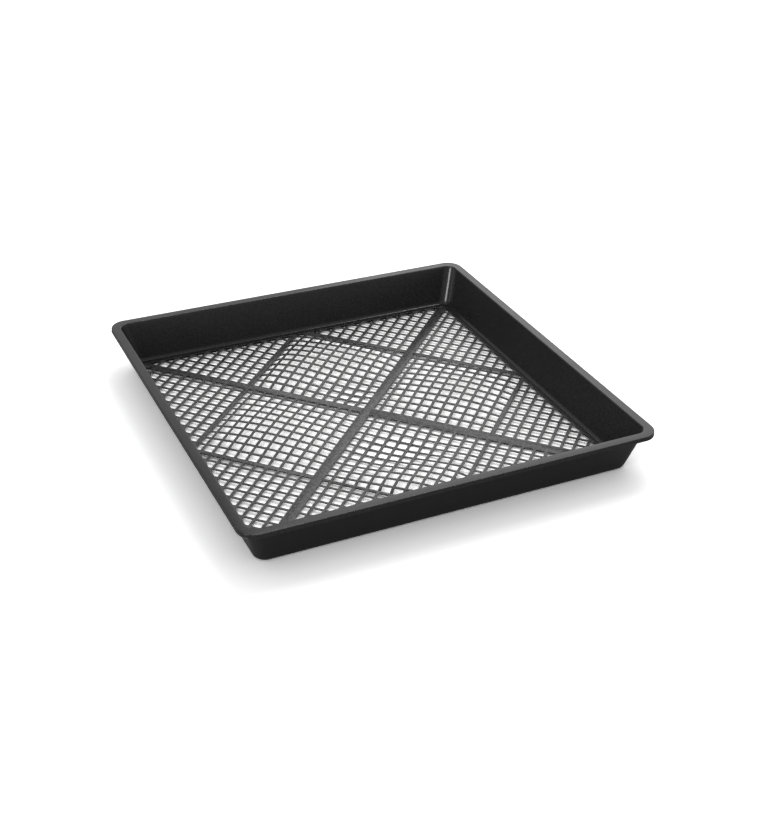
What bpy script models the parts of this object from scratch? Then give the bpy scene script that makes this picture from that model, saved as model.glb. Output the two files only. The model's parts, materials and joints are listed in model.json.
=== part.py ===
# A square, shallow sprouting tray: one black plastic moulding with an open diamond net for its floor.
#
# The frame is metres with +Z up. The origin is on the ground under the middle of the tray, X runs along
# the front side and Y runs from the front side to the back side. The moulding is divided where its own
# features meet, with a hairline gap between neighbours: the rim, the side wall, the base ring, the ribs
# and the panels of the net.

import math

import bmesh
import bpy

# Overall size
RIM_WIDTH = 0.270                      # across the top of the rim, side to side
TRAY_HEIGHT = 0.0295                   # ground to the top of the rim

# Rim
RIM_CORNER_RADIUS = 0.0108             # outer edge, seen from above
FLANGE_WIDTH = 0.0052                  # outer edge to where the top starts to round inwards
FLANGE_THICKNESS = 0.0015
RIM_EDGE_RADIUS = 0.0005
SKIRT_DEPTH = 0.0028                   # top of the rim to the lower edge of its skirt
SKIRT_THICKNESS = 0.0013
SKIRT_FLARE = 0.0004                   # the lower edge stands this far outside the top edge
INNER_ROUND_RADIUS = 0.0008            # from the flat top down into the wall

# Side wall
WALL_THICKNESS = 0.0012
WALL_DRAFT = math.radians(14.4)        # the tray narrows downwards, so that trays nest
INNER_CORNER_RADIUS = 0.0065           # inside corners of the wall, seen from above

# Base ring
FLOOR_HEIGHT = 0.00225                 # ground to the upper face of the net
PLATE_THICKNESS = 0.0009               # the border band round the net
FOOT_ROUND_RADIUS = 0.0043             # under the wall, outside
FOOT_WIDTH = 0.0006                    # flat strip that stands on the ground
INSIDE_ROUND_RADIUS = 0.0022           # at the foot of the wall, inside
BAND_WIDTH = 0.00287                   # flat border between the inside round and the net
OPENING_CORNER_RADIUS = 0.0020

# Ribs and net
WIDE_RIB_WIDTH = 0.0057                # the two ribs from corner to corner
THIN_RIB_WIDTH = 0.0030                # the four ribs of the diamond
RIB_THICKNESS = 0.0020
NET_THICKNESS = 0.0013
DIAMOND_OVERSHOOT = 0.0031             # two thin ribs' middle lines meet this far outside the opening
CELLS_PER_PANEL = 6                    # along one side; the real net has 11 finer cells
STRAND_WIDTH = 0.0025                  # in proportion to the cells
PANEL_EDGE_WIDTH = 0.0012              # strip of net along each rib and along the border
SMALLEST_HOLE = 0.03                   # a clipped hole below this share of a cell is left closed

# The thin net warped as it cooled: two panels bulge up, and the back and front ones rise and also dip.
# For each side of the tray: height in the panel's middle, how much more it is from start to end along the
# panel's two edges and at both corners between them, and its fullness. Below 1 the bulge is flatter on top
# and steeper at its edges.
BULGES = {
    "right": (0.0032, 0.0017, 0.0023, 0.0011, 0.82),
    "back": (0.0039, 0.0055, 0.0052, -0.0128, 0.47),
    "left": (0.0028, 0.0013, 0.0002, -0.0027, 0.96),
    "front": (0.0005, 0.0047, 0.0045, 0.0121, 0.45),
}

CLEARANCE = 0.0003                     # hairline gap between neighbouring solids
CORNER_STEPS = 6                       # facets in each rounded corner
ROUND_STEPS = 5                        # facets in each round of a section

ROOT2 = math.sqrt(2.0)
SIDES = ("right", "back", "left", "front")
PLASTIC_COLOUR = (0.030, 0.030, 0.032, 1.0)


# Sections of the shell: each point is a half width of the tray, a height and a corner radius

rim_half = RIM_WIDTH / 2
flange_half = rim_half - FLANGE_WIDTH
draft_slope = math.tan(WALL_DRAFT)
wall_across = WALL_THICKNESS / math.cos(WALL_DRAFT)
outer_corner_radius = INNER_CORNER_RADIUS + WALL_THICKNESS

# The inner round leaves the flat top and ends in line with the wall's inner face.
round_centre_height = TRAY_HEIGHT - INNER_ROUND_RADIUS
round_end_half = flange_half - INNER_ROUND_RADIUS * math.cos(WALL_DRAFT)
round_end_height = round_centre_height + INNER_ROUND_RADIUS * math.sin(WALL_DRAFT)


def inner_half(height):
    """Half width of the tray at the wall's inner face."""
    return round_end_half - (round_end_height - height) * draft_slope


def outer_half(height):
    """Half width of the tray at the wall's outer face."""
    return inner_half(height) + wall_across


# Where the wall starts and ends: just clear of the rounds above and below it
inside_round_top = FLOOR_HEIGHT + INSIDE_ROUND_RADIUS * (1 - math.sin(WALL_DRAFT))
foot_round_top = FOOT_ROUND_RADIUS * (1 - math.sin(WALL_DRAFT))
wall_bottom = max(inside_round_top, foot_round_top) + CLEARANCE
wall_top = min(round_end_height, TRAY_HEIGHT - FLANGE_THICKNESS) - CLEARANCE

# Half widths at the foot
foot_centre_half = outer_half(FOOT_ROUND_RADIUS) - FOOT_ROUND_RADIUS / math.cos(WALL_DRAFT)
inside_round_run = INSIDE_ROUND_RADIUS * math.tan((math.pi / 2 - WALL_DRAFT) / 2)
inside_round_half = inner_half(FLOOR_HEIGHT) - inside_round_run
opening_half = inside_round_half - BAND_WIDTH
foot_inner_half = max(foot_centre_half - FOOT_WIDTH, opening_half)

# The square panels run from the middle of a wide rib to the middle of a thin rib, and the thin ribs
# make a diamond whose points lie just outside the middles of the opening's sides.
panel_width = (opening_half + DIAMOND_OVERSHOOT) / ROOT2
cell_pitch = panel_width / CELLS_PER_PANEL


def arc(centre_half, centre_height, radius, start, end):
    """Points of a section along an arc; angles in radians from the outward direction."""
    points = []
    for step in range(ROUND_STEPS + 1):
        angle = start + (end - start) * step / ROUND_STEPS
        points.append((centre_half + radius * math.cos(angle), centre_height + radius * math.sin(angle)))
    return points


def foot_corner_radius(half):
    """Corner radius below the wall: the corners keep their centre as the foot rounds inwards."""
    return max(INNER_CORNER_RADIUS - (inner_half(FLOOR_HEIGHT) - half), OPENING_CORNER_RADIUS)


def rim_section():
    """Outer edge, skirt, underside, top of the wall and inner round, once round."""
    edge_centre_half = rim_half - RIM_EDGE_RADIUS
    edge_centre_height = TRAY_HEIGHT - RIM_EDGE_RADIUS
    top_edge = arc(edge_centre_half, edge_centre_height, RIM_EDGE_RADIUS, math.pi / 2, 0)
    section = [(half, height, RIM_CORNER_RADIUS - (rim_half - half)) for half, height in top_edge]
    skirt_height = TRAY_HEIGHT - SKIRT_DEPTH
    skirt_half = rim_half + SKIRT_FLARE
    skirt_radius = RIM_CORNER_RADIUS + SKIRT_FLARE
    section.append((skirt_half, skirt_height, skirt_radius))
    section.append((skirt_half - SKIRT_THICKNESS, skirt_height, skirt_radius - SKIRT_THICKNESS))
    underside = TRAY_HEIGHT - FLANGE_THICKNESS
    section.append((rim_half - SKIRT_THICKNESS, underside, RIM_CORNER_RADIUS - SKIRT_THICKNESS))
    section.append((outer_half(underside), underside, outer_corner_radius))
    section.append((outer_half(wall_top), wall_top, outer_corner_radius))
    section.append((inner_half(wall_top), wall_top, INNER_CORNER_RADIUS))
    inner_round = arc(flange_half, round_centre_height, INNER_ROUND_RADIUS,
                      math.pi - WALL_DRAFT, math.pi / 2)
    section += [(half, height, INNER_CORNER_RADIUS) for half, height in inner_round]
    return section


def wall_section():
    """The drafted wall between the rim and the base ring."""
    low = wall_bottom + CLEARANCE
    high = wall_top - CLEARANCE
    return [
        (outer_half(high), high, outer_corner_radius),
        (inner_half(high), high, INNER_CORNER_RADIUS),
        (inner_half(low), low, INNER_CORNER_RADIUS),
        (outer_half(low), low, outer_corner_radius),
    ]


def base_section():
    """Foot, outer round, stub of the wall, inside round, border band and its underside, once round."""
    plate_underside = FLOOR_HEIGHT - PLATE_THICKNESS
    outside = arc(foot_centre_half, FOOT_ROUND_RADIUS, FOOT_ROUND_RADIUS, -math.pi / 2, -WALL_DRAFT)
    inside = arc(inside_round_half, FLOOR_HEIGHT + INSIDE_ROUND_RADIUS, INSIDE_ROUND_RADIUS,
                 -WALL_DRAFT, -math.pi / 2)
    section = [(foot_inner_half, 0.0, foot_corner_radius(foot_inner_half))]
    section += [(half, height, foot_corner_radius(half)) for half, height in outside]
    section.append((outer_half(wall_bottom), wall_bottom, outer_corner_radius))
    section.append((inner_half(wall_bottom), wall_bottom, INNER_CORNER_RADIUS))
    section += [(half, height, foot_corner_radius(half)) for half, height in inside]
    section.append((opening_half, FLOOR_HEIGHT, foot_corner_radius(opening_half)))
    section.append((opening_half, plate_underside, foot_corner_radius(opening_half)))
    section.append((foot_inner_half, plate_underside, foot_corner_radius(foot_inner_half)))
    return section


# Making solids

def plastic(name):
    """The tray's plastic: near black, with a soft shine."""
    material = bpy.data.materials.new(name + "_plastic")
    material.use_nodes = True
    shader = material.node_tree.nodes["Principled BSDF"]
    shader.inputs["Base Color"].default_value = PLASTIC_COLOUR
    shader.inputs["Roughness"].default_value = 0.42
    shader.inputs["Metallic"].default_value = 0.0
    return material


def add_solid(name, bm, turn=0.0):
    """Put a finished bmesh into the scene as a named object, turned about the tray's middle."""
    bmesh.ops.remove_doubles(bm, verts=bm.verts, dist=1e-7)
    bmesh.ops.recalc_face_normals(bm, faces=bm.faces)
    mesh = bpy.data.meshes.new(name)
    bm.to_mesh(mesh)
    bm.free()
    mesh.materials.append(plastic(name))
    solid = bpy.data.objects.new(name, mesh)
    solid.rotation_euler = (0.0, 0.0, turn)
    bpy.context.scene.collection.objects.link(solid)
    return solid


def rounded_square(half, radius):
    """Points of a square with round corners, counter-clockwise from the right side."""
    points = []
    for corner in range(4):
        middle = math.pi / 4 + corner * math.pi / 2
        centre_x = (half - radius) * ROOT2 * math.cos(middle)
        centre_y = (half - radius) * ROOT2 * math.sin(middle)
        for step in range(CORNER_STEPS + 1):
            angle = middle - math.pi / 4 + step * math.pi / 2 / CORNER_STEPS
            points.append((centre_x + radius * math.cos(angle), centre_y + radius * math.sin(angle)))
    return points


def ring(name, section):
    """Carry a closed section round the tray; each of its points follows its own rounded square."""
    bm = bmesh.new()
    loops = []
    for half, height, radius in section:
        loops.append([bm.verts.new((x, y, height)) for x, y in rounded_square(half, radius)])
    for index, loop in enumerate(loops):
        following = loops[(index + 1) % len(loops)]
        for place in range(len(loop)):
            after = (place + 1) % len(loop)
            bm.faces.new((loop[place], loop[after], following[after], following[place]))
    solid = add_solid(name, bm)
    solid.data.shade_smooth()
    solid.data.set_sharp_from_angle(angle=math.radians(35))
    return solid


def clip(outline, across, along, limit):
    """Keep the part of an outline where across * x + along * y is at most limit."""
    kept = []
    for index, point in enumerate(outline):
        before = outline[index - 1]
        depth = across * point[0] + along * point[1] - limit
        depth_before = across * before[0] + along * before[1] - limit
        if (depth <= 0) != (depth_before <= 0):
            share = depth_before / (depth_before - depth)
            crossing_x = before[0] + (point[0] - before[0]) * share
            crossing_y = before[1] + (point[1] - before[1]) * share
            kept.append((crossing_x, crossing_y))
        if depth <= 0:
            kept.append(point)
    return kept


def rib(name, start, end, low_side, high_side, turn):
    """A flat rib along local X, cut to fit the opening of the base ring.

    Local X and Y lie on the tray's diagonals, so the four sides of the opening are slanted lines here
    and its rounded corners lie at the ends of the axes.
    """
    outline = [(start, low_side), (end, low_side), (end, high_side), (start, high_side)]
    side_limit = (opening_half - CLEARANCE) * ROOT2
    corner_limit = opening_half * ROOT2 - OPENING_CORNER_RADIUS * (ROOT2 - 1) - CLEARANCE
    for across in (1, -1):
        for along in (1, -1):
            outline = clip(outline, across, along, side_limit)
        outline = clip(outline, across, 0, corner_limit)
    bm = bmesh.new()
    face = bm.faces.new([bm.verts.new((x, y, FLOOR_HEIGHT - RIB_THICKNESS)) for x, y in outline])
    upper = bmesh.ops.extrude_face_region(bm, geom=[face])
    moved = [item for item in upper["geom"] if isinstance(item, bmesh.types.BMVert)]
    bmesh.ops.translate(bm, verts=moved, vec=(0.0, 0.0, RIB_THICKNESS))
    return add_solid(name, bm, turn)


def strand_spans(start, end, edged_end):
    """The stretches of net and of hole along one direction, as (low, high, is_hole)."""
    spans = [(start, start + PANEL_EDGE_WIDTH, False)]
    hole_start = start + PANEL_EDGE_WIDTH
    last = end - PANEL_EDGE_WIDTH if edged_end else end
    number = math.floor(start / cell_pitch) + 1
    while number * cell_pitch + STRAND_WIDTH / 2 < last:
        strand_low = number * cell_pitch - STRAND_WIDTH / 2
        if strand_low > hole_start:
            spans.append((hole_start, strand_low, True))
            spans.append((strand_low, strand_low + STRAND_WIDTH, False))
            hole_start = strand_low + STRAND_WIDTH
        number += 1
    spans.append((hole_start, last, True))
    if edged_end:
        spans.append((last, end, False))
    return spans


def bulge_height(bulge, a, b, low, high):
    """Height of the warped net over its flat place; nothing at the panel's edges."""
    middle, more_a, more_b, more_both, fullness = bulge
    share_a = min(max((a - low) / (high - low), 0.0), 1.0)
    share_b = min(max((b - low) / (high - low), 0.0), 1.0)
    dome = max(math.sin(math.pi * share_a) * math.sin(math.pi * share_b), 0.0) ** fullness
    side_a = share_a - 0.5
    side_b = share_b - 0.5
    return dome * (middle + more_a * side_a + more_b * side_b + more_both * side_a * side_b)


def net(name, a_spans, b_spans, turn, bulge=None):
    """One panel of net: a sheet of cells without its holes, cut at the border, then given its thickness.

    Local X (a) and local Y (b) lie on the tray's diagonals, and the nearest side of the opening is the
    slanted line a + b = limit.
    """
    limit = (opening_half - CLEARANCE) * ROOT2
    edge_limit = limit - PANEL_EDGE_WIDTH * ROOT2
    bm = bmesh.new()
    for a_low, a_high, _ in a_spans:
        for b_low, b_high, _ in b_spans:
            if a_low + b_low < limit:
                corners = ((a_low, b_low), (a_high, b_low), (a_high, b_high), (a_low, b_high))
                bm.faces.new([bm.verts.new((a, b, 0.0)) for a, b in corners])
    bmesh.ops.remove_doubles(bm, verts=bm.verts, dist=1e-7)
    slanted = (1.0, 1.0, 0.0)
    for cut, beyond in ((edge_limit, False), (limit, True)):
        everything = bm.verts[:] + bm.edges[:] + bm.faces[:]
        bmesh.ops.bisect_plane(bm, geom=everything, dist=1e-7, plane_co=(cut / 2, cut / 2, 0.0),
                               plane_no=slanted, clear_outer=beyond)

    # A clipped cell near the border keeps its hole only if the hole is large enough.
    for a_low, a_high, a_open in a_spans:
        for b_low, b_high, b_open in b_spans:
            if not (a_open and b_open):
                continue
            inside = []
            for face in bm.faces:
                middle = face.calc_center_median()
                in_cell = a_low < middle.x < a_high and b_low < middle.y < b_high
                if in_cell and middle.x + middle.y < edge_limit:
                    inside.append(face)
            if sum(face.calc_area() for face in inside) > SMALLEST_HOLE * cell_pitch ** 2:
                bmesh.ops.delete(bm, geom=inside, context="FACES")

    # The sheet bulges, comes down to its underside and is extruded up to the floor's upper face.
    if bulge:
        low = a_spans[0][0]
        high = a_spans[-1][1]
        for vertex in bm.verts:
            vertex.co.z = bulge_height(bulge, vertex.co.x, vertex.co.y, low, high)
    bmesh.ops.translate(bm, verts=bm.verts, vec=(0.0, 0.0, FLOOR_HEIGHT - NET_THICKNESS))
    upper = bmesh.ops.extrude_face_region(bm, geom=bm.faces[:])
    moved = [item for item in upper["geom"] if isinstance(item, bmesh.types.BMVert)]
    bmesh.ops.translate(bm, verts=moved, vec=(0.0, 0.0, NET_THICKNESS))
    return add_solid(name, bm, turn)


# Building the tray

def build_shell():
    """Rim, side wall and base ring: three rings on one another."""
    ring("rim", rim_section())
    ring("side_wall", wall_section())
    ring("base_ring", base_section())


def build_wide_ribs():
    """The unbroken rib from front left to back right, and the two halves of the other diagonal."""
    half = WIDE_RIB_WIDTH / 2
    reach = opening_half * ROOT2
    start = half + CLEARANCE
    rib("long_rib", -reach, reach, -half, half, math.radians(45))
    rib("cross_rib_left", start, reach, -half, half, math.radians(135))
    rib("cross_rib_right", start, reach, -half, half, math.radians(-45))


def build_side(number, side):
    """Everything between two half diagonals: two thin ribs, a square panel and two corner panels."""
    turn = math.radians(-45 + 90 * number)
    reach = opening_half * ROOT2
    beside_wide = WIDE_RIB_WIDTH / 2 + CLEARANCE
    before_thin = panel_width - THIN_RIB_WIDTH / 2 - CLEARANCE
    after_thin = panel_width + THIN_RIB_WIDTH / 2 + CLEARANCE

    # One thin rib runs beside local X; the other is the same shape beside local Y.
    low = panel_width - THIN_RIB_WIDTH / 2
    high = panel_width + THIN_RIB_WIDTH / 2
    quarter = math.pi / 2
    rib(f"diamond_rib_{side}_1", beside_wide, reach, -high, -low, turn + quarter)
    rib(f"diamond_rib_{side}_2", beside_wide, reach, low, high, turn)

    square = strand_spans(beside_wide, before_thin, True)
    outer = strand_spans(after_thin, reach, False)
    inner = strand_spans(beside_wide, reach - panel_width, False)
    net(f"net_{side}", square, square, turn, BULGES[side])
    net(f"corner_net_{side}_1", outer, inner, turn)
    net(f"corner_net_{side}_2", inner, outer, turn)


def main():
    for item in list(bpy.data.objects):
        bpy.data.objects.remove(item, do_unlink=True)
    build_shell()
    build_wide_ribs()
    for number, side in enumerate(SIDES):
        build_side(number, side)


main()
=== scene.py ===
# %% [markdown]
# # A sprouting tray, from its solids to its looks
#
# The object is one black plastic moulding: a square shallow tray with a rolled rim, drafted walls and an
# open net for its floor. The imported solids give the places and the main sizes. This lesson lays a finer
# surface over each of them, gives it the finish of moulded polypropylene, and sets up a white studio.

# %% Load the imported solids
import json
import math

import bpy
from mathutils import Matrix, Vector

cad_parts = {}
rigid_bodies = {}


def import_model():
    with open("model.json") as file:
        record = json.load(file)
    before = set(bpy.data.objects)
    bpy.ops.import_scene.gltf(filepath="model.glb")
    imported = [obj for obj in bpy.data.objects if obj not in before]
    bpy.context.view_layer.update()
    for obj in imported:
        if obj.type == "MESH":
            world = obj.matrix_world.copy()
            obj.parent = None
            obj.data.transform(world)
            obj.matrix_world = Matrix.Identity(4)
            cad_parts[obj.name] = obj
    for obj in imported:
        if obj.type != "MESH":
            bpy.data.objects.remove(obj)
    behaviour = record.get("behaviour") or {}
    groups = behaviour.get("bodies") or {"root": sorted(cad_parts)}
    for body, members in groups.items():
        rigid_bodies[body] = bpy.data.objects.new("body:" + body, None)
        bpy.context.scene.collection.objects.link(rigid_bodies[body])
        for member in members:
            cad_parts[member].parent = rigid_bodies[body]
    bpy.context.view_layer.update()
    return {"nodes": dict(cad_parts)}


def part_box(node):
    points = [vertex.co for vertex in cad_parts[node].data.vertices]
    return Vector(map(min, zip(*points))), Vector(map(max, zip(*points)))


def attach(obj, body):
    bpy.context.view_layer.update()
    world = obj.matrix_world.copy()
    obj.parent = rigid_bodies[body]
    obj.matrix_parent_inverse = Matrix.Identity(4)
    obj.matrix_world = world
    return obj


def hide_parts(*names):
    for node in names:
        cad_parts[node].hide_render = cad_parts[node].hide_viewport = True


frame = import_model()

# %% [markdown]
# ## Driving sizes
#
# Places come from the solids where they can be read from a node's box. The rest are the moulding's own
# sizes, in metres: radii, thicknesses and the width of a strand of the net. The solids carry a coarser
# net, so the number of cells along a panel is set here.

# %% Sizes of the moulding
MM = 0.001

rim_low, rim_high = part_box("rim")
rib_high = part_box("long_rib")[1]
net_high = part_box("corner_net_right_1")[1]

CLEARANCE = 0.3 * MM                    # gap between neighbouring solids, which the finer surfaces close
TOP_MARGIN = 0.005 * MM                 # keeps the rim's top inside the solids' box
TRAY_HEIGHT = rim_high.z - TOP_MARGIN
FLOOR_HEIGHT = rib_high.z
OPENING_HALF = net_high.x + CLEARANCE   # half width of the square opening that the net fills
SKIRT_FLARE = 0.2 * MM
RIM_HALF = rim_high.x - SKIRT_FLARE
RIM_CORNER = 10.8 * MM
FLANGE_WIDTH = 5.4 * MM
FLANGE_THICKNESS = 1.5 * MM
SKIRT_DEPTH = rim_high.z - rim_low.z
SKIRT_THICKNESS = 1.3 * MM
INNER_ROUND = 0.8 * MM
INNER_CORNER = 6.5 * MM
DRAFT = 14.4                            # degrees that the wall leans outwards
WALL_THICKNESS = 1.2 * MM
INSIDE_ROUND = 2.2 * MM
FOOT_ROUND = 4.3 * MM
FOOT_WIDTH = 0.6 * MM
PLATE_THICKNESS = 0.9 * MM
OPENING_CORNER = 2.0 * MM

# %% Sizes of the ribs and the net
LONG_RIB = 6.6 * MM                     # the unbroken diagonal is a little wider than the halved one
WIDE_RIB = 5.7 * MM
THIN_RIB = 2.6 * MM
RIB_THICKNESS = 0.8 * MM
DIAMOND_OVERSHOOT = 3.1 * MM            # the thin ribs' middle lines meet this far outside the opening
PANEL_WIDTH = (OPENING_HALF + DIAMOND_OVERSHOOT) / math.sqrt(2)
PITCH = 7.67 * MM
PANEL_CELLS = 11                        # pitches from a square panel's first strand to a corner panel's
SHEET_CELLS = 13                        # enough to cover a panel from any first strand
STRAND_WIDTH = 1.95 * MM
NET_THICKNESS = 0.6 * MM
print("panel width:", round(PANEL_WIDTH * 1000, 2), "mm, opening:", round(OPENING_HALF * 2000, 1), "mm")

# %% [markdown]
# ## Working by hand, in code
#
# The operators below are the ones a modeller clicks: add a primitive, tab into edit mode, select, shape,
# tab out. An operator acts on everything that is selected, and loading leaves the solids selected, so
# each piece starts from an empty selection.

# %% Helpers for modelling
SMOOTH_BELOW = math.radians(40)         # edges that turn by less than this are shaded smooth
BEVEL_ABOVE = math.radians(50)          # edges that turn by more than this get a round or a chamfer


def deselect_all():
    """Leave edit mode and empty the selection."""
    if bpy.context.object and bpy.context.object.mode != "OBJECT":
        bpy.ops.object.mode_set(mode="OBJECT")
    bpy.ops.object.select_all(action="DESELECT")


def make_active(piece):
    """Select one object alone, ready for an operator."""
    deselect_all()
    piece.select_set(True)
    bpy.context.view_layer.objects.active = piece


def delete_piece(piece):
    """Remove a piece that was only a pattern for copies."""
    make_active(piece)
    bpy.ops.object.delete()


def copy_of(piece, name):
    """A copy of a piece with its own mesh."""
    make_active(piece)
    bpy.ops.object.duplicate()
    twin = bpy.context.object
    twin.name = twin.data.name = name
    return twin


def bevel_edges(piece, name, width, segments):
    """Add a modifier that rounds or chamfers the sharp edges of a piece."""
    bevel = piece.modifiers.new(name, "BEVEL")
    bevel.width = width
    bevel.segments = segments
    bevel.limit_method = "ANGLE"
    bevel.angle_limit = BEVEL_ABOVE


def apply_modifiers(piece):
    """Bake a piece's modifiers into its mesh, in order."""
    make_active(piece)
    for modifier in list(piece.modifiers):
        bpy.ops.object.modifier_apply(modifier=modifier.name)


def settle(piece):
    """Apply the piece's place to its mesh, so that its object sits at the origin, and shade it smooth."""
    make_active(piece)
    bpy.ops.object.transform_apply(location=True, rotation=True, scale=True)
    bpy.ops.object.shade_smooth_by_angle(angle=SMOOTH_BELOW)


def declare(piece, slot, *nodes):
    """Hang the piece on the root body and hide the solids that it stands for; its slot is not used."""
    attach(piece, "root")
    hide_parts(*nodes)


print("selected after loading:", len(bpy.context.selected_objects))
deselect_all()

# %% [markdown]
# ## Contour lines
#
# The rim, the wall and the base ring all go round the tray, but their corners don't share one centre:
# the rim's outer corner is a wide arc and the inner ones are tighter. A spun section would force a common
# centre. So each piece is drawn as contour lines, like a map: a plane whose four corners are bevelled
# round, at its own size, height and corner radius. Neighbouring lines are then bridged.

# %% A contour line
CORNER_SEGMENTS = 14                    # straight stretches in each round corner
APART = 0.01                            # spacing of the stacked lines while they are joined


def add_contour(half, height, radius):
    """In edit mode, add a square outline with round corners, and keep it as a vertex group."""
    bpy.ops.mesh.select_all(action="DESELECT")
    bpy.ops.mesh.primitive_plane_add(size=2 * half, location=(0, 0, height))
    bpy.ops.mesh.bevel(offset=radius, offset_type="OFFSET", segments=CORNER_SEGMENTS, profile=0.5,
                       affect="VERTICES")
    bpy.ops.object.vertex_group_assign_new()
    bpy.ops.mesh.delete(type="ONLY_FACE")


def select_contours(piece, *lines):
    """In edit mode, select some contour lines by their vertex groups, and nothing else."""
    bpy.ops.mesh.select_all(action="DESELECT")
    for line in lines:
        piece.vertex_groups.active_index = line
        bpy.ops.object.vertex_group_select()


# %% [markdown]
# Bridging compares the middles of two lines to match their points, and two lines at one height share a
# middle, so the match can slip by a corner. The lines are therefore stacked well apart while they are
# joined, and then each is moved to its own height.

# %% A ring bridged from contour lines
def ring(name, section):
    """A closed ring; each point of its section is (half width, height, corner radius)."""
    deselect_all()
    bpy.ops.mesh.primitive_plane_add(size=1, location=(0, 0, 0))
    piece = bpy.context.object
    piece.name = piece.data.name = name
    bpy.ops.object.mode_set(mode="EDIT")
    bpy.ops.mesh.select_mode(type="VERT")
    bpy.ops.mesh.delete(type="VERT")
    for line, (half, _, radius) in enumerate(section):
        add_contour(half, line * APART, radius)
    for line in range(len(section)):
        select_contours(piece, line, (line + 1) % len(section))
        bpy.ops.mesh.bridge_edge_loops(type="PAIRS")
    for line, (_, height, _) in enumerate(section):
        select_contours(piece, line)
        bpy.ops.transform.translate(value=(0, 0, height - line * APART))
    bpy.ops.mesh.select_all(action="SELECT")
    bpy.ops.mesh.normals_make_consistent(inside=False)
    bpy.ops.object.mode_set(mode="OBJECT")
    piece.vertex_groups.clear()
    settle(piece)
    print(name, "faces:", len(piece.data.polygons))
    return piece


# %% [markdown]
# A section's rounds are arcs. Their angles are in degrees from the outward direction, and each arc says
# how many steps it takes: more in a round that is seen close up, few in a small one.

# %% Arcs of a section
OUT, UP, IN, DOWN = 0, 90, 180, -90
ROUND_STEPS = 10
EDGE_STEPS = 6


def arc(centre_half, centre_height, radius, start, end, steps):
    """Points of a section on an arc, as (half width, height)."""
    points = []
    for step in range(steps + 1):
        angle = math.radians(start + (end - start) * step / steps)
        points.append((centre_half + radius * math.cos(angle), centre_height + radius * math.sin(angle)))
    return points


# %% [markdown]
# ## The wall's two faces
#
# The wall leans outwards by about fourteen degrees so that empty trays nest. Its faces start where the
# rim's inner round ends, so one straight line gives the half width of the tray at any height. The rim,
# the wall and the base ring all use it, and their surfaces run on from one another without a step.

# %% Half widths by height
LEAN = math.radians(DRAFT)
SLOPE = math.tan(LEAN)
FLANGE_HALF = RIM_HALF - FLANGE_WIDTH
ROUND_END_HALF = FLANGE_HALF - INNER_ROUND * math.cos(LEAN)
ROUND_END_HEIGHT = TRAY_HEIGHT - INNER_ROUND * (1 - math.sin(LEAN))
OUTER_CORNER = INNER_CORNER + WALL_THICKNESS
RIM_STUB = 1.0 * MM                     # how far the rim's own piece runs down the wall


def inner_half(height):
    """Half width of the tray at the wall's inner face."""
    return ROUND_END_HALF - (ROUND_END_HEIGHT - height) * SLOPE


def outer_half(height):
    """Half width of the tray at the wall's outer face."""
    return inner_half(height) + WALL_THICKNESS / math.cos(LEAN)


wall_top = TRAY_HEIGHT - FLANGE_THICKNESS - RIM_STUB
wall_bottom = FLOOR_HEIGHT + INSIDE_ROUND
print("wall from", round(wall_bottom * 1000, 2), "to", round(wall_top * 1000, 2), "mm")

# %% [markdown]
# ## The rolled rim
#
# The rim is a flat flange with its edge turned down into a short skirt. The mould leaves a round on every
# edge, and the skirt's lower edge kicks outwards into a thin lip that catches the light. All of that is
# in the section, point by point, so the rounds cost a few contour lines and need no bevel afterwards.

# %% Rim
EDGE_ROUND = 0.5 * MM
LIP_ROUND = 0.35 * MM
LIP_RISE = 0.9 * MM                     # how far above its lower edge the skirt starts to kick out
LIP_START = 30                          # degrees above outwards at which the lip's round begins


def rim_section():
    """Top edge, skirt, lip, underside, stub of the wall and inner round, once round."""
    section = []
    for half, height in arc(RIM_HALF - EDGE_ROUND, TRAY_HEIGHT - EDGE_ROUND, EDGE_ROUND, UP, OUT, EDGE_STEPS):
        section.append((half, height, RIM_CORNER - (RIM_HALF - half)))
    skirt_low = TRAY_HEIGHT - SKIRT_DEPTH
    lip_half = RIM_HALF + SKIRT_FLARE
    section.append((RIM_HALF, skirt_low + LIP_RISE, RIM_CORNER))
    for half, height in arc(lip_half - LIP_ROUND, skirt_low + LIP_ROUND, LIP_ROUND, LIP_START, DOWN,
                            EDGE_STEPS):
        section.append((half, height, RIM_CORNER + (half - RIM_HALF)))
    skirt_inner = lip_half - SKIRT_THICKNESS
    inner_radius = RIM_CORNER - (RIM_HALF - skirt_inner)
    section.append((skirt_inner, skirt_low, inner_radius))
    underside = TRAY_HEIGHT - FLANGE_THICKNESS
    section.append((skirt_inner - SKIRT_FLARE, underside, inner_radius))
    section.append((outer_half(underside), underside, OUTER_CORNER))
    section.append((outer_half(wall_top), wall_top, OUTER_CORNER))
    section.append((inner_half(wall_top), wall_top, INNER_CORNER))
    for half, height in arc(FLANGE_HALF, TRAY_HEIGHT - INNER_ROUND, INNER_ROUND, IN - DRAFT, UP, ROUND_STEPS):
        section.append((half, height, INNER_CORNER))
    return section


rim = ring("rolled_rim", rim_section())
declare(rim, "shell", "rim")

# %% [markdown]
# ## The side wall
#
# The wall needs only four contour lines. Its ends butt against the rim above and the base ring below, at
# the same half widths, so the joins don't show.

# %% Side wall
wall = ring("drafted_wall", [
    (outer_half(wall_top), wall_top, OUTER_CORNER),
    (inner_half(wall_top), wall_top, INNER_CORNER),
    (inner_half(wall_bottom), wall_bottom, INNER_CORNER),
    (outer_half(wall_bottom), wall_bottom, OUTER_CORNER),
])
declare(wall, "shell", "side_wall")

# %% [markdown]
# ## The base ring
#
# Under the wall the plastic rounds in to a narrow foot, which is all that touches the ground. Inside, a
# second round runs down to a flat band, and the net begins at the band's edge. Below the wall the corners
# keep their centre, so their radius shrinks with the half width.

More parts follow.
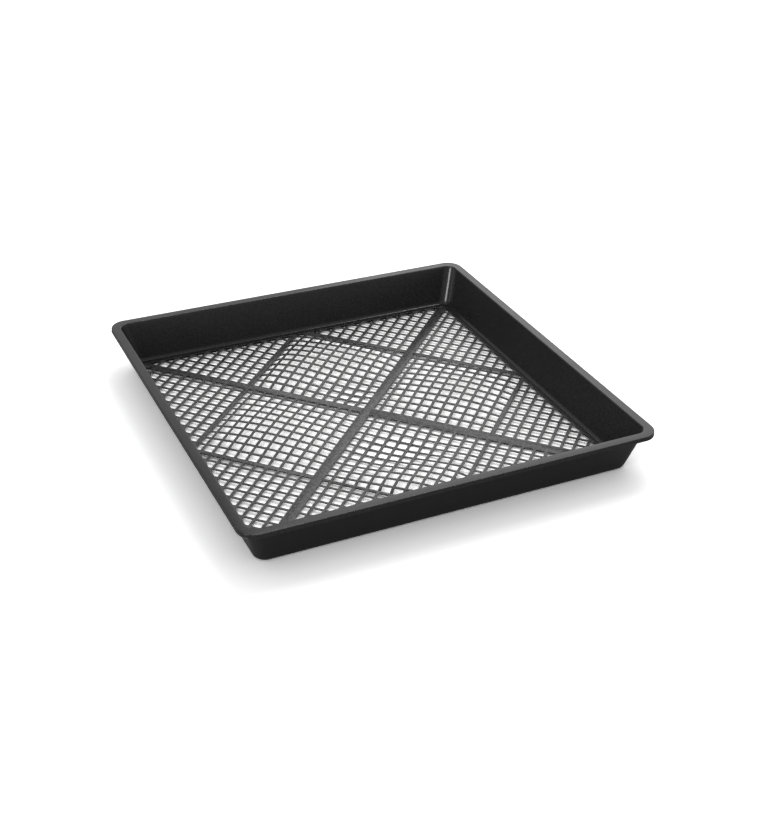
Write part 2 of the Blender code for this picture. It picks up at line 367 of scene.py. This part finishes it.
# %% Base ring
BAND_EDGE_ROUND = 0.25 * MM
BAND_EDGE_STEPS = 3
BAND_TAPER = 0.9 * MM                   # the band's underside thins towards the opening


def base_corner(half):
    """Corner radius below the wall."""
    return max(INNER_CORNER - (inner_half(FLOOR_HEIGHT) - half), OPENING_CORNER)


def base_section():
    """Foot, outer round, stub of the wall, inside round, band and its underside, once round."""
    foot_centre = outer_half(FOOT_ROUND) - FOOT_ROUND / math.cos(LEAN)
    foot_inner = foot_centre - FOOT_WIDTH
    round_centre = inner_half(FLOOR_HEIGHT) - INSIDE_ROUND * math.tan(math.radians((90 - DRAFT) / 2))
    band_low = FLOOR_HEIGHT - PLATE_THICKNESS
    section = [(foot_inner, 0.0, base_corner(foot_inner))]
    for half, height in arc(foot_centre, FOOT_ROUND, FOOT_ROUND, DOWN, OUT - DRAFT, ROUND_STEPS):
        section.append((half, height, base_corner(half)))
    section.append((outer_half(wall_bottom), wall_bottom, OUTER_CORNER))
    section.append((inner_half(wall_bottom), wall_bottom, INNER_CORNER))
    for half, height in arc(round_centre, FLOOR_HEIGHT + INSIDE_ROUND, INSIDE_ROUND, OUT - DRAFT, DOWN,
                            ROUND_STEPS):
        section.append((half, height, base_corner(half)))
    edge_centre = OPENING_HALF + BAND_EDGE_ROUND
    for half, height in arc(edge_centre, FLOOR_HEIGHT - BAND_EDGE_ROUND, BAND_EDGE_ROUND, UP, IN,
                            BAND_EDGE_STEPS):
        section.append((half, height, base_corner(half)))
    taper_half = OPENING_HALF + BAND_TAPER
    section.append((taper_half, band_low, base_corner(taper_half)))
    section.append((foot_inner, band_low, base_corner(foot_inner)))
    return section


base = ring("base_and_foot", base_section())
declare(base, "shell", "base_ring")

# %% [markdown]
# ## One rib, cut to the opening
#
# The net hangs between flat ribs: two wide ones from corner to corner, and four thin ones that make a
# square on its point, each halved by a wide rib. A rib is a cube stretched to its size. The opening's
# slanted sides cut its ends by a filled bisect, and a Bevel modifier gives its edges the mould's small
# round. One function makes them all, because only their lengths, widths and places differ.
#
# Each quarter of the tray is drawn with the tray's diagonals along X and Y, and then turned into place.

# %% Cutting and ribs
RIB_EDGE_ROUND = 0.2 * MM
RIB_EDGE_SEGMENTS = 2
SINK = 0.03 * MM                        # a rib's top lies this far below the band's, so that no faces fight
BITE = 0.3 * MM                         # how far a rib or a net runs into what carries it
SIDES = {"right": -45, "back": 45, "left": 135, "front": 225}    # degrees that each quarter is turned


def cut(normal, distance, fill):
    """In edit mode, drop everything beyond a plane at a distance from the tray's middle."""
    direction = Vector(normal).normalized()
    bpy.ops.mesh.select_all(action="SELECT")
    bpy.ops.mesh.bisect(plane_co=direction * distance, plane_no=direction, use_fill=fill, clear_outer=True)


def rib(name, start, end, low_side, high_side):
    """A flat rib along X between two sides, with its ends cut by the opening."""
    deselect_all()
    bpy.ops.mesh.primitive_cube_add(size=1, location=(0, 0, 0))
    piece = bpy.context.object
    piece.name = piece.data.name = name
    bpy.ops.object.mode_set(mode="EDIT")
    height = RIB_THICKNESS - SINK
    bpy.ops.transform.resize(value=(end - start, high_side - low_side, height))
    middle = ((start + end) / 2, (low_side + high_side) / 2, FLOOR_HEIGHT - SINK - height / 2)
    bpy.ops.transform.translate(value=middle)
    for across in (1, -1):
        for along in (1, -1):
            cut((across, along, 0), OPENING_HALF + BITE, True)
    bpy.ops.object.mode_set(mode="OBJECT")
    bevel_edges(piece, "mould round", RIB_EDGE_ROUND, RIB_EDGE_SEGMENTS)
    apply_modifiers(piece)
    return piece


def place(piece, turn):
    """Turn a piece from a quarter's own directions into the tray's."""
    piece.rotation_euler = (0, 0, math.radians(turn))
    settle(piece)


# %% The wide ribs
REACH = OPENING_HALF * math.sqrt(2) + 1 * MM    # from the middle to a little past the opening's corners
BESIDE_WIDE = WIDE_RIB / 2 - BITE               # where ribs and nets begin, inside a wide rib's edge

long_rib = rib("long_diagonal_rib", -REACH, REACH, -LONG_RIB / 2, LONG_RIB / 2)
place(long_rib, SIDES["back"])
declare(long_rib, "net", "long_rib")

for side in ("left", "right"):
    half_rib = rib(f"cross_rib_{side}_half", BESIDE_WIDE, REACH, -WIDE_RIB / 2, WIDE_RIB / 2)
    place(half_rib, SIDES[side])
    declare(half_rib, "net", f"cross_rib_{side}")
print("wide rib faces:", len(long_rib.data.polygons), "and", len(half_rib.data.polygons))

# %% [markdown]
# ## The thin ribs
#
# Two thin ribs edge the square panel of each quarter, one across X and one across Y. Both are modelled
# along X, once, and copied to the four quarters, where the first is turned a right angle more. On the
# real tray some of them lie a millimetre off an even layout, so a copy is shifted a little before it is
# turned into place.

# %% The thin ribs
# How far each thin rib lies beyond an even layout: the one across X, then the one across Y
BEYOND_EVEN = {
    "right": (-0.4 * MM, 1.2 * MM),
    "back": (1.2 * MM, 0.0),
    "left": (0.0, 0.1 * MM),
    "front": (0.1 * MM, -0.4 * MM),
}

thin_low = PANEL_WIDTH - THIN_RIB / 2
thin_high = PANEL_WIDTH + THIN_RIB / 2
first_thin = rib("thin_rib_first", BESIDE_WIDE, REACH, -thin_high, -thin_low)
second_thin = rib("thin_rib_second", BESIDE_WIDE, REACH, thin_low, thin_high)
for side, turn in SIDES.items():
    beyond_x, beyond_y = BEYOND_EVEN[side]
    for number, pattern, more, shift in ((1, first_thin, 90, -beyond_x), (2, second_thin, 0, beyond_y)):
        thin = copy_of(pattern, f"thin_rib_{side}_{number}")
        bpy.ops.transform.translate(value=(0, shift, 0))
        bpy.ops.object.transform_apply(location=True)
        place(thin, turn + more)
        declare(thin, "net", f"diamond_rib_{side}_{number}")
delete_piece(first_thin)
delete_piece(second_thin)
print("thin rib length:", round((REACH - PANEL_WIDTH) * 1000, 1), "mm beside the wide rib's middle")

# %% [markdown]
# ## The net
#
# Every panel starts as the same kind of sheet: a grid of square cells, each face inset by half a strand,
# and the inset faces deleted. What is left is a flat lattice one face thick. Planes cut it along the ribs
# and the band, and later a Solidify modifier gives the strands their depth, with a small chamfer on their
# edges. Modelling one strand and crossing copies of it would leave hundreds of overlaps; a lattice has
# none.

# %% A sheet of net
def net_sheet(name, start_x, start_y, cuts):
    """A flat lattice of cells from a corner, cut by planes given as (normal, distance)."""
    deselect_all()
    half = SHEET_CELLS * PITCH / 2
    bpy.ops.mesh.primitive_grid_add(x_subdivisions=SHEET_CELLS, y_subdivisions=SHEET_CELLS, size=2 * half,
                                    location=(0, 0, 0))
    piece = bpy.context.object
    piece.name = piece.data.name = name
    bpy.ops.object.mode_set(mode="EDIT")
    bpy.ops.transform.translate(value=(start_x + half, start_y + half, 0))
    bpy.ops.mesh.select_mode(type="FACE")
    bpy.ops.mesh.select_all(action="SELECT")
    bpy.ops.mesh.inset(thickness=STRAND_WIDTH / 2, depth=0, use_individual=True)
    bpy.ops.mesh.delete(type="FACE")
    for normal, distance in cuts:
        cut(normal, distance, False)
    bpy.ops.object.mode_set(mode="OBJECT")
    return piece


# %% [markdown]
# On the real tray the net doesn't run on evenly from one panel to the next: each side's strands start at
# their own distance from the wide ribs, and the corner panels are shifted against the square one. The
# sheets are larger than the panels, so that they reach past every cut.

# %% Where the strands start
# How far beyond the wide ribs' middle lines a side's first strands lie, along X and Y
FIRST_STRANDS = {
    "right": (-0.19 * MM, 3.74 * MM),
    "back": (2.01 * MM, 1.82 * MM),
    "left": (2.81 * MM, -0.43 * MM),
    "front": (2.91 * MM, 0.83 * MM),
}
# How far the corner panels are shifted: the one beyond X, then the one beyond Y
CORNER_SHIFTS = {
    "right": (-0.25 * MM, -0.15 * MM),
    "back": (2.15 * MM, 0.90 * MM),
    "left": (-0.70 * MM, 0.15 * MM),
    "front": (-3.15 * MM, -0.65 * MM),
}
BORDER = ((1, 1, 0), OPENING_HALF + BITE)
from_wide_x = ((-1, 0, 0), -BESIDE_WIDE)
from_wide_y = ((0, -1, 0), -BESIDE_WIDE)
print("border at", round((OPENING_HALF + BITE) * 1000, 2), "mm from the middle")

# %% Three sheets for each side
sheets = {}
for side, (first_x, first_y) in FIRST_STRANDS.items():
    start_x, start_y = first_x - PITCH, first_y - PITCH
    beyond_x, beyond_y = start_x + PANEL_CELLS * PITCH, start_y + PANEL_CELLS * PITCH
    shift_x, shift_y = CORNER_SHIFTS[side]
    even_x, even_y = BEYOND_EVEN[side]
    to_thin_x = ((1, 0, 0), thin_low + even_x + BITE)
    to_thin_y = ((0, 1, 0), thin_low + even_y + BITE)
    from_thin_x = ((-1, 0, 0), -(thin_high + even_x - BITE))
    from_thin_y = ((0, -1, 0), -(thin_high + even_y - BITE))
    sheets[side] = (
        net_sheet(f"square_sheet_{side}", start_x, start_y,
                  [from_wide_x, from_wide_y, to_thin_x, to_thin_y, BORDER]),
        net_sheet(f"corner_sheet_{side}_1", beyond_x + shift_x, start_y, [from_thin_x, from_wide_y, BORDER]),
        net_sheet(f"corner_sheet_{side}_2", start_x, beyond_y + shift_y, [from_thin_y, from_wide_x, BORDER]),
    )
    print(side, "sheet faces:", [len(sheet.data.polygons) for sheet in sheets[side]])

# %% [markdown]
# ## The warp of each panel
#
# The thin net cooled faster than the ribs around it and came out warped. Each square panel's warp is a
# dome that ends at the ribs, and the dome leans: it rises from one edge to the other along X and along Y,
# or more at two opposite corners. It moves the lattice's points up or down before they get thickness.

# %% Bulges
# For each side: the height in the middle, the rise along X, along Y and towards both at once, the swell
# towards the ends of X and of Y, and the fullness. Below 1 the dome is flatter on top, with steeper edges.
BULGES = {
    "right": (3.1 * MM, 1.7 * MM, 3.0 * MM, 1.1 * MM, 2.4 * MM, 2.3 * MM, 0.95),
    "back": (2.8 * MM, 6.6 * MM, 6.2 * MM, -16.1 * MM, 4.1 * MM, 5.1 * MM, 0.68),
    "left": (3.0 * MM, 1.4 * MM, 0.3 * MM, -3.1 * MM, 6.1 * MM, 1.4 * MM, 1.07),
    "front": (-0.6 * MM, 7.1 * MM, 5.6 * MM, 19.4 * MM, 17.9 * MM, 8.0 * MM, 0.70),
}


def warp(piece, middle, rise_x, rise_y, rise_both, swell_x, swell_y, fullness):
    """Raise or lower the points of a square sheet by its dome."""
    low = WIDE_RIB / 2
    span = thin_low - low
    for vertex in piece.data.vertices:
        share_x = min(max((vertex.co.x - low) / span, 0.0), 1.0)
        share_y = min(max((vertex.co.y - low) / span, 0.0), 1.0)
        dome = max(math.sin(math.pi * share_x) * math.sin(math.pi * share_y), 0.0) ** fullness
        side_x, side_y = share_x - 0.5, share_y - 0.5
        lean = rise_x * side_x + rise_y * side_y + rise_both * side_x * side_y
        vertex.co.z += dome * (middle + lean + swell_x * side_x ** 2 + swell_y * side_y ** 2)


# %% [markdown]
# ## Thickness and edges of the strands
#
# Solidify is set to grow downwards from the lattice, so its top face stays just below the ribs. The
# chamfer is one face wide: there are about a thousand holes, so each may cost only a few dozen faces.

# %% Finish a panel
STRAND_CHAMFER = 0.2 * MM
NET_SINK = 0.1 * MM                     # the strands' tops lie this far below the band's


def thicken(piece):
    """Give a sheet of net its depth and its chamfered edges."""
    solidify = piece.modifiers.new("strand depth", "SOLIDIFY")
    solidify.thickness = NET_THICKNESS
    solidify.offset = -1
    bevel_edges(piece, "strand chamfer", STRAND_CHAMFER, 1)
    apply_modifiers(piece)


def finish_panel(pattern, name, turn, node, bulge=None):
    """Copy a sheet, warp it, thicken it and turn it into its place."""
    panel = copy_of(pattern, name)
    if bulge:
        warp(panel, *bulge)
    thicken(panel)
    panel.location.z = FLOOR_HEIGHT - NET_SINK
    place(panel, turn)
    declare(panel, "net", node)
    return panel


# %% All twelve panels
total = 0
for side, turn in SIDES.items():
    square, first_corner, second_corner = sheets[side]
    panels = [finish_panel(square, f"net_panel_{side}", turn, f"net_{side}", BULGES[side])]
    for number, pattern in ((1, first_corner), (2, second_corner)):
        name = f"net_corner_{side}_{number}"
        panels.append(finish_panel(pattern, name, turn, f"corner_net_{side}_{number}"))
    total += sum(len(panel.data.polygons) for panel in panels)
    for pattern in sheets[side]:
        delete_piece(pattern)
print("net faces:", total)

# %% [markdown]
# ## The plastic
#
# The tray is near-black polypropylene with a satin shine. Close up, such a moulding has a very fine
# grain from the tool's surface and slow changes of gloss where the plastic flowed and cooled. An image
# texture would need a flat layout of every piece. Noise on Object coordinates needs none, and it runs on
# from one piece to the next. The grain is a node group, so that the shell and the net share it with
# their own values.

# %% Node group for moulded grain
GRAIN_SCALE = 700.0
GRAIN_DETAIL = 3
GRAIN_HARSHNESS = 0.6                   # how strongly the finest layer of the grain counts
FLOW_SCALE = 30.0
FLOW_DETAIL = 2
FLOW_RANGE = (0.3, 0.7)                 # the noise that gives the lowest and the highest roughness
SPECK_RANGE = (0.38, 0.62)              # the noise between which the specks go from dark to light


def moulded_grain():
    """Node group: height of the grain, roughness with its slow changes, and the grain's specks."""
    group = bpy.data.node_groups.new("moulded_grain", "ShaderNodeTree")
    sockets = group.interface
    for name, value in (("Grain Scale", GRAIN_SCALE), ("Flow Scale", FLOW_SCALE), ("Roughness Low", 0.2),
                        ("Roughness High", 0.3)):
        socket = sockets.new_socket(name, in_out="INPUT", socket_type="NodeSocketFloat")
        socket.default_value = value
    for name in ("Height", "Roughness", "Specks"):
        sockets.new_socket(name, in_out="OUTPUT", socket_type="NodeSocketFloat")
    nodes, links = group.nodes, group.links
    inlet = nodes.new("NodeGroupInput")
    outlet = nodes.new("NodeGroupOutput")
    coordinates = nodes.new("ShaderNodeTexCoord")
    grain = nodes.new("ShaderNodeTexNoise")
    grain.inputs["Detail"].default_value = GRAIN_DETAIL
    grain.inputs["Roughness"].default_value = GRAIN_HARSHNESS
    flow = nodes.new("ShaderNodeTexNoise")
    flow.inputs["Detail"].default_value = FLOW_DETAIL
    spread = nodes.new("ShaderNodeMapRange")
    spread.inputs["From Min"].default_value = FLOW_RANGE[0]
    spread.inputs["From Max"].default_value = FLOW_RANGE[1]
    contrast = nodes.new("ShaderNodeMapRange")
    contrast.inputs["From Min"].default_value = SPECK_RANGE[0]
    contrast.inputs["From Max"].default_value = SPECK_RANGE[1]
    links.new(coordinates.outputs["Object"], grain.inputs["Vector"])
    links.new(coordinates.outputs["Object"], flow.inputs["Vector"])
    links.new(inlet.outputs["Grain Scale"], grain.inputs["Scale"])
    links.new(inlet.outputs["Flow Scale"], flow.inputs["Scale"])
    links.new(flow.outputs["Fac"], spread.inputs["Value"])
    links.new(inlet.outputs["Roughness Low"], spread.inputs["To Min"])
    links.new(inlet.outputs["Roughness High"], spread.inputs["To Max"])
    links.new(grain.outputs["Fac"], outlet.inputs["Height"])
    links.new(spread.outputs["Result"], outlet.inputs["Roughness"])
    links.new(grain.outputs["Fac"], contrast.inputs["Value"])
    links.new(contrast.outputs["Result"], outlet.inputs["Specks"])
    return group


GRAIN = moulded_grain()
print("group sockets:", [item.name for item in GRAIN.interface.items_tree])

# %% [markdown]
# ## Two finishes
#
# The walls and the rim are the smoother part of the mould, with a clear soft shine and an even black. The
# ribs and strands are duller and mottled, so their grain mixes a much lighter tone into the black. That
# tone also lifts the whole net above the shell's black, as painted sheen.

# %% Materials for the shell and the net
POLYPROPYLENE_IOR = 1.49


def plastic(name, dark, light, rough_low, rough_high, grain_depth):
    """Satin black plastic with the moulded grain, whose specks mix its two tones."""
    material = bpy.data.materials.new(name)
    material.use_nodes = True
    nodes, links = material.node_tree.nodes, material.node_tree.links
    shader = nodes["Principled BSDF"]
    shader.inputs["IOR"].default_value = POLYPROPYLENE_IOR
    grain = nodes.new("ShaderNodeGroup")
    grain.node_tree = GRAIN
    grain.inputs["Roughness Low"].default_value = rough_low
    grain.inputs["Roughness High"].default_value = rough_high
    tone = nodes.new("ShaderNodeMix")
    tone.data_type = "RGBA"
    tone.inputs["A"].default_value = (*dark, 1)
    tone.inputs["B"].default_value = (*light, 1)
    bump = nodes.new("ShaderNodeBump")
    bump.inputs["Distance"].default_value = grain_depth
    links.new(grain.outputs["Specks"], tone.inputs["Factor"])
    links.new(tone.outputs["Result"], shader.inputs["Base Color"])
    links.new(grain.outputs["Roughness"], shader.inputs["Roughness"])
    links.new(grain.outputs["Height"], bump.inputs["Height"])
    links.new(bump.outputs["Normal"], shader.inputs["Normal"])
    return material


SHELL_PLASTIC = plastic("shell_satin_black", dark=(0.012, 0.012, 0.013), light=(0.022, 0.022, 0.023),
                        rough_low=0.18, rough_high=0.26, grain_depth=0.02 * MM)
# the net's light tone is random mottle, and also painted sheen: it makes the whole net lighter than the same
# plastic on the shell
NET_PLASTIC_WITH_PAINTED_SHEEN = plastic("net_satin_black_painted_sheen", dark=(0.010, 0.010, 0.010), light=(0.088, 0.088, 0.088),
                      rough_low=0.30, rough_high=0.40, grain_depth=0.04 * MM)
for piece in bpy.data.objects:
    if piece.type == "MESH" and piece.name not in frame["nodes"]:
        shell = piece in (rim, wall, base)
        piece.data.materials.clear()
        piece.data.materials.append(SHELL_PLASTIC if shell else NET_PLASTIC_WITH_PAINTED_SHEEN)
print("pieces in shell plastic:", SHELL_PLASTIC.users, "and in net plastic:", NET_PLASTIC_WITH_PAINTED_SHEEN.users)

# %% [markdown]
# ## The studio
#
# The photograph is a plain product shot on white: a pale floor that runs out of the frame, and white all
# round. More light would turn the floor white, but it would wash out the black tray too. So the paper is
# a mid grey to the light, and only the camera sees it as white. Under the net the camera sees it brighter
# still, as painted light that lifts the shade under the net, with a soft change along the opening's edge,
# and the tray's shadow stays on it.

# %% Paper for the floor
PAPER_LIGHT = 0.30                      # how much light the paper throws back on the tray
PAPER_SEEN = 1.46                       # how bright the camera sees it
PAPER_PAINTED_LIGHT_UNDER_NET = 1.85                      # painted light: the camera sees the paper this bright under the net, where the photograph's floor is whitest
PAINTED_LIGHT_FADE = 4 * MM                     # half the width of the change from the painted light to the plain paper


def white_paper():
    """Matt paper that is seen white, brighter still under the net as painted light, and whose light on the
    object stays modest.
    """
    paper = bpy.data.materials.new("white_paper")
    paper.use_nodes = True
    nodes, links = paper.node_tree.nodes, paper.node_tree.links
    nodes.clear()
    matt = nodes.new("ShaderNodeBsdfDiffuse")
    surface = nodes.new("ShaderNodeOutputMaterial")
    path = nodes.new("ShaderNodeLightPath")
    coordinates = nodes.new("ShaderNodeTexCoord")
    apart = nodes.new("ShaderNodeSeparateXYZ")
    farther = nodes.new("ShaderNodeMath")
    farther.operation = "MAXIMUM"
    for number, axis in enumerate("XY"):
        distance = nodes.new("ShaderNodeMath")
        distance.operation = "ABSOLUTE"
        links.new(apart.outputs[axis], distance.inputs[0])
        links.new(distance.outputs[0], farther.inputs[number])
    # painted light: towards the middle, under the net, the camera sees the paper brighter
    level = nodes.new("ShaderNodeMapRange")
    level.inputs["From Min"].default_value = OPENING_HALF - PAINTED_LIGHT_FADE
    level.inputs["From Max"].default_value = OPENING_HALF + PAINTED_LIGHT_FADE
    level.inputs["To Min"].default_value = PAPER_PAINTED_LIGHT_UNDER_NET
    level.inputs["To Max"].default_value = PAPER_SEEN
    shade = nodes.new("ShaderNodeMix")
    shade.data_type = "FLOAT"
    shade.inputs["A"].default_value = PAPER_LIGHT
    links.new(coordinates.outputs["Object"], apart.inputs["Vector"])
    links.new(farther.outputs[0], level.inputs["Value"])
    links.new(level.outputs["Result"], shade.inputs["B"])
    links.new(path.outputs["Is Camera Ray"], shade.inputs["Factor"])
    links.new(shade.outputs["Result"], matt.inputs["Color"])
    links.new(matt.outputs["BSDF"], surface.inputs["Surface"])
    return paper


# %% Floor
FLOOR_SIZE = 12                         # metres, far larger than the tray

deselect_all()
bpy.ops.mesh.primitive_plane_add(size=FLOOR_SIZE, location=(0, 0, 0))
floor = bpy.context.object
floor.name = floor.data.name = "studio_floor"
floor.data.materials.append(white_paper())
print("floor:", FLOOR_SIZE, "m across")

# %% [markdown]
# ## White all round
#
# The world stands for the white surroundings. The camera sees them at full white. As a light they are
# weaker, so that the black stays black, and in a reflection they are weaker still, so that the shine
# keeps its light and dark places. The rays of Light Path tell the three apart.

# %% World
SKY_SEEN = 1.0
SKY_LIGHT = 0.66                        # what the white surroundings add to the light on the object
SKY_SHINE = 0.45                        # how bright they are in a reflection

world = bpy.data.worlds.new("white_studio")
bpy.context.scene.world = world
world.use_nodes = True
nodes, links = world.node_tree.nodes, world.node_tree.links
nodes.clear()
path = nodes.new("ShaderNodeLightPath")
level = nodes.new("ShaderNodeMix")
level.data_type = "FLOAT"
level.inputs["A"].default_value = SKY_LIGHT
level.inputs["B"].default_value = SKY_SHINE
seen = nodes.new("ShaderNodeMix")
seen.data_type = "FLOAT"
seen.inputs["B"].default_value = SKY_SEEN
backdrop = nodes.new("ShaderNodeBackground")
backdrop.inputs["Color"].default_value = (1, 1, 1, 1)
sky = nodes.new("ShaderNodeOutputWorld")
links.new(path.outputs["Is Glossy Ray"], level.inputs["Factor"])
links.new(path.outputs["Is Camera Ray"], seen.inputs["Factor"])
links.new(level.outputs["Result"], seen.inputs["A"])
links.new(seen.outputs["Result"], backdrop.inputs["Strength"])
links.new(backdrop.outputs["Background"], sky.inputs["Surface"])
print("world nodes:", len(nodes))

# %% [markdown]
# ## Softboxes
#
# Five soft lights shape the tray. A large one behind it throws the soft shadow forward, and isn't
# mirrored, so that it puts no glare on the rim. A key from behind on the right and a low one from behind
# give the rim its shine. A small one from the left draws the bright line down the back corner, and a
# thin high strip draws the fine line along the foot of the back wall. Each light has one task, so each
# can be set by itself, which one large light wouldn't allow.

# %% The five lights
LIGHT_DISTANCE = 1.6
# Name, azimuth and elevation in degrees, width and height in metres, watts, and whether it is mirrored
LIGHTS = (
    ("back_light", -2, 39, 1.8, 1.8, 3.2, False),
    ("key_light", 41, 38, 1.0, 1.0, 3.5, True),
    ("side_light", -112, 10, 0.5, 0.5, 9.5, True),
    ("high_strip", 41, 61, 0.9, 0.1, 4.4, True),
    ("low_light", 14, 10, 1.6, 1.6, 3.2, True),
)


def softbox(name, azimuth, elevation, width, height, power, mirrored):
    """A soft light aimed at the tray; azimuth from +Y towards +X."""
    azimuth, elevation = math.radians(azimuth), math.radians(elevation)
    level = math.cos(elevation)
    toward = Vector((math.sin(azimuth) * level, math.cos(azimuth) * level, math.sin(elevation)))
    bpy.ops.object.light_add(type="AREA", location=toward * LIGHT_DISTANCE)
    lamp = bpy.context.object
    lamp.name = name
    lamp.data.shape = "RECTANGLE"
    lamp.data.size = width
    lamp.data.size_y = height
    lamp.data.energy = power
    lamp.rotation_euler = toward.to_track_quat("Z", "Y").to_euler()
    lamp.visible_glossy = mirrored


for light in LIGHTS:
    softbox(*light)
print("lights:", [light[0] for light in LIGHTS])

# %% [markdown]
# ## The camera
#
# The camera stands where the photographer stood: in front, a little to the left, about thirty degrees up.
# Its place was solved from the square rim's corners and the even grid of the net, and includes a small
# roll. The lens is a short telephoto, which keeps the square's sides close to parallel.

# %% Camera
VIEW_AZIMUTH = math.radians(-26.024)    # from the front side, towards the tray's left
VIEW_ELEVATION = math.radians(31.147)
VIEW_ROLL = math.radians(1.603)
VIEW_DISTANCE = 0.86398                 # metres from the middle of the rim's top
VIEW_SIDE = 0.01097                     # the line of sight passes this far to the right of that middle
VIEW_RISE = -0.02278                    # and this far above it, so here it passes below
LENS = 58.32                            # millimetres

back = Vector((math.sin(VIEW_AZIMUTH) * math.cos(VIEW_ELEVATION),
               -math.cos(VIEW_AZIMUTH) * math.cos(VIEW_ELEVATION), math.sin(VIEW_ELEVATION)))
right = (-back).cross(Vector((0, 0, 1))).normalized()
up = right.cross(-back)
eye = back * VIEW_DISTANCE + right * VIEW_SIDE + up * VIEW_RISE + Vector((0, 0, TRAY_HEIGHT))
rolled_right = right * math.cos(VIEW_ROLL) + up * math.sin(VIEW_ROLL)
rolled_up = up * math.cos(VIEW_ROLL) - right * math.sin(VIEW_ROLL)
bpy.ops.object.camera_add(location=eye)
camera = bpy.context.object
camera.name = "photographer"
camera.matrix_world = Matrix.Translation(eye) @ Matrix((rolled_right, rolled_up, back)).transposed().to_4x4()
camera.data.lens = LENS
bpy.context.scene.camera = camera
bpy.context.scene.view_settings.view_transform = "Standard"
print("camera at", [round(v, 4) for v in eye])
